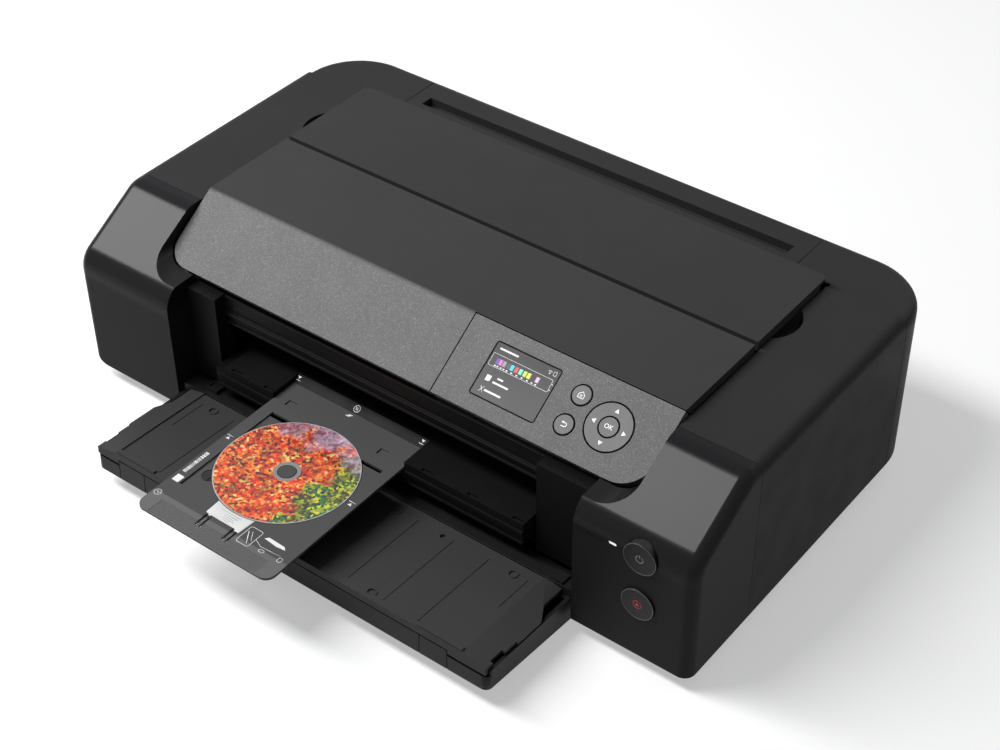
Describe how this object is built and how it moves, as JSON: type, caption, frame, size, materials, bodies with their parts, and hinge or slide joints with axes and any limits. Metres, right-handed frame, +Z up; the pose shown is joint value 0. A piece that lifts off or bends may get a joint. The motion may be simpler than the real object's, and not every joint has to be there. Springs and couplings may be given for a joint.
{
  "type": "inkjet photo printer",
  "caption": "Wide desktop inkjet photo printer with lidded rear sheet feeder, sloped control panel, open output tray and a disc tray carrying a disc.",
  "frame": {"origin": "on the table, under the middle of the whole object with its trays out", "axes": "+X to the printer's right side as seen from the front, +Y to its back, +Z up"},
  "size_m": [0.639, 0.514, 0.1785],
  "materials": {
    "case_black": "satin black",
    "cover_grey": "fine matt texture, dark grey",
    "tray_grey": "matt dark grey",
    "panel_black": "satin",
    "screen": "flat screen",
    "button_grey": "satin grey",
    "lamp": "clear lamp",
    "inner_black": "black",
    "steel": "zinc plated sheet and ground rod",
    "rubber": "black",
    "gear_white": "acetal",
    "board": "green circuit board",
    "disc_face": "printed disc",
    "tank": "tinted tanks",
    "felt": "waste ink felt"
  },
  "bodies": {
    "case": {"base_pan": "inner_black", "feet": "rubber", "screws": "steel", "left_front_cover": "case_black", "right_front_cover": "case_black", "left_side_panel": "case_black", "right_side_panel": "case_black", "rear_cover": "case_black", "rear_caps": "case_black", "upper_frame": "inner_black", "left_chassis": "steel", "right_chassis": "steel", "inner_bezel": "inner_black", "inner_floor": "inner_black", "guide_rod": "steel", "carriage_rail": "steel", "platen": "inner_black", "star_wheel_bar": "inner_black", "hopper": "inner_black", "hinge_brackets": "inner_black", "hinge_pins": "steel", "operation_panel": "panel_black", "lcd_screen": "screen", "panel_bracket": "steel", "power_lamp": "lamp", "circuit_boards": "board", "motors": "steel", "power_supply": "inner_black", "main_board": "board", "rear_sockets": "inner_black", "capping_station": "inner_black", "waste_pad": "felt", "carriage_belt": "rubber"},
    "top_cover": {"top_cover": "cover_grey"},
    "rear_tray_lid": {"rear_tray_lid": "cover_grey"},
    "paper_support": {"paper_support": "inner_black"},
    "manual_feed_cover": {"manual_feed_cover": "case_black"},
    "disc_guide": {"disc_guide": "inner_black"},
    "disc_tray": {"disc_tray": "tray_grey"},
    "disc": {"disc": "disc_face"},
    "output_tray": {"output_tray": "case_black"},
    "tray_extension": {"tray_extension": "tray_grey"},
    "power_button": {"power_button": "button_grey"},
    "stop_button": {"stop_button": "button_grey"},
    "home_button": {"home_button": "button_grey"},
    "back_button": {"back_button": "button_grey"},
    "ok_button": {"ok_button": "button_grey"},
    "arrow_ring": {"arrow_ring": "button_grey"},
    "paper_guide_left": {"paper_guide_left": "case_black"},
    "paper_guide_right": {"paper_guide_right": "case_black"},
    "carriage": {"print_carriage": "inner_black", "ink_tanks": "tank", "print_head": "inner_black"},
    "drive_pulley": {"drive_pulley": "gear_white"},
    "idler_pulley": {"idler_pulley": "gear_white"},
    "feed_roller": {"feed_roller": "steel"},
    "output_roller": {"output_roller": "rubber"},
    "idler_gear": {"idler_gear": "gear_white"},
    "motor_pinion": {"motor_pinion": "gear_white"},
    "pickup_roller": {"pickup_roller": "rubber"}
  },
  "joints": [
    {"name": "top_cover_hinge", "type": "hinge", "parent": "case", "child": "top_cover", "pos_m": [0, 0.0785, 0.1721], "axis": [-1, 0, 0], "range_deg": [0, 60]},
    {"name": "lid_hinge", "type": "hinge", "parent": "case", "child": "rear_tray_lid", "pos_m": [0, 0.192, 0.1721], "axis": [-1, 0, 0], "range_deg": [0, 105]},
    {"name": "support_slide", "type": "slide", "parent": "rear_tray_lid", "child": "paper_support", "axis": [0, -1, 0], "range_m": [0, 0.065]},
    {"name": "manual_feed_hinge", "type": "hinge", "parent": "case", "child": "manual_feed_cover", "pos_m": [0, 0.2525, 0.058], "axis": [-1, 0, 0], "range_deg": [0, 40]},
    {"name": "guide_slide", "type": "slide", "parent": "case", "child": "disc_guide", "axis": [0, 1, 0], "range_m": [0, 0.022]},
    {"name": "disc_tray_slide", "type": "slide", "parent": "case", "child": "disc_tray", "axis": [0, 1, 0], "range_m": [-0.09, 0.15]},
    {"name": "disc_lift", "type": "slide", "parent": "disc_tray", "child": "disc", "axis": [0, 0, -1], "range_m": [-0.02, 0]},
    {"name": "output_tray_hinge", "type": "hinge", "parent": "case", "child": "output_tray", "pos_m": [0, -0.092, 0.022], "axis": [-1, 0, 0], "range_deg": [0, 9]},
    {"name": "extension_slide", "type": "slide", "parent": "output_tray", "child": "tray_extension", "axis": [0, -0.9986, 0.0523], "range_m": [0, 0.075]},
    {"name": "power_press", "type": "slide", "parent": "case", "child": "power_button", "axis": [0, 1, 0], "range_m": [0, 0.001], "stiffness_N_per_m": 400},
    {"name": "stop_press", "type": "slide", "parent": "case", "child": "stop_button", "axis": [0, 1, 0], "range_m": [0, 0.001], "stiffness_N_per_m": 400},
    {"name": "home_press", "type": "slide", "parent": "case", "child": "home_button", "axis": [0, 0.5592, -0.829], "range_m": [0, 0.0008], "stiffness_N_per_m": 300},
    {"name": "back_press", "type": "slide", "parent": "case", "child": "back_button", "axis": [0, 0.5592, -0.829], "range_m": [0, 0.0008], "stiffness_N_per_m": 300},
    {"name": "ok_press", "type": "slide", "parent": "case", "child": "ok_button", "axis": [0, 0.5592, -0.829], "range_m": [0, 0.0008], "stiffness_N_per_m": 300},
    {"name": "ring_press", "type": "slide", "parent": "case", "child": "arrow_ring", "axis": [0, 0.5592, -0.829], "range_m": [0, 0.0008], "stiffness_N_per_m": 300},
    {"name": "paper_guide_right_slide", "type": "slide", "parent": "case", "child": "paper_guide_right", "axis": [-1, 0, 0], "range_m": [0, 0.1]},
    {"name": "paper_guide_left_slide", "type": "slide", "parent": "case", "child": "paper_guide_left", "axis": [1, 0, 0], "range_m": [0, 0.1]},
    {"name": "carriage_slide", "type": "slide", "parent": "case", "child": "carriage", "axis": [-1, 0, 0], "range_m": [0, 0.42]},
    {"name": "drive_pulley_spin", "type": "hinge", "parent": "case", "child": "drive_pulley", "pos_m": [-0.268, 0.0815, 0.128], "axis": [0, 1, 0], "continuous": true},
    {"name": "idler_pulley_spin", "type": "hinge", "parent": "case", "child": "idler_pulley", "pos_m": [0.268, 0.0815, 0.128], "axis": [0, 1, 0], "continuous": true},
    {"name": "feed_roller_spin", "type": "hinge", "parent": "case", "child": "feed_roller", "pos_m": [0, 0.103, 0.0573], "axis": [1, 0, 0], "continuous": true},
    {"name": "output_roller_spin", "type": "hinge", "parent": "case", "child": "output_roller", "pos_m": [0, -0.012, 0.0573], "axis": [1, 0, 0], "continuous": true},
    {"name": "idler_gear_spin", "type": "hinge", "parent": "case", "child": "idler_gear", "pos_m": [0.2985, 0.0455, 0.0573], "axis": [1, 0, 0], "continuous": true},
    {"name": "motor_pinion_spin", "type": "hinge", "parent": "case", "child": "motor_pinion", "pos_m": [0.2985, 0.143, 0.0573], "axis": [1, 0, 0], "continuous": true},
    {"name": "pickup_roller_spin", "type": "hinge", "parent": "case", "child": "pickup_roller", "pos_m": [0, 0.11552, 0.10483], "axis": [1, 0, 0], "continuous": true}
  ],
  "couplings": [
    {"joint": "paper_guide_left_slide", "follows": "paper_guide_right_slide", "ratio": 1},
    {"joint": "drive_pulley_spin", "follows": "carriage_slide", "rad_per_m": 111.11},
    {"joint": "idler_pulley_spin", "follows": "carriage_slide", "rad_per_m": 111.11},
    {"joint": "output_roller_spin", "follows": "feed_roller_spin", "ratio": 1},
    {"joint": "idler_gear_spin", "follows": "feed_roller_spin", "ratio": -1.0909},
    {"joint": "motor_pinion_spin", "follows": "feed_roller_spin", "ratio": -3}
  ]
}
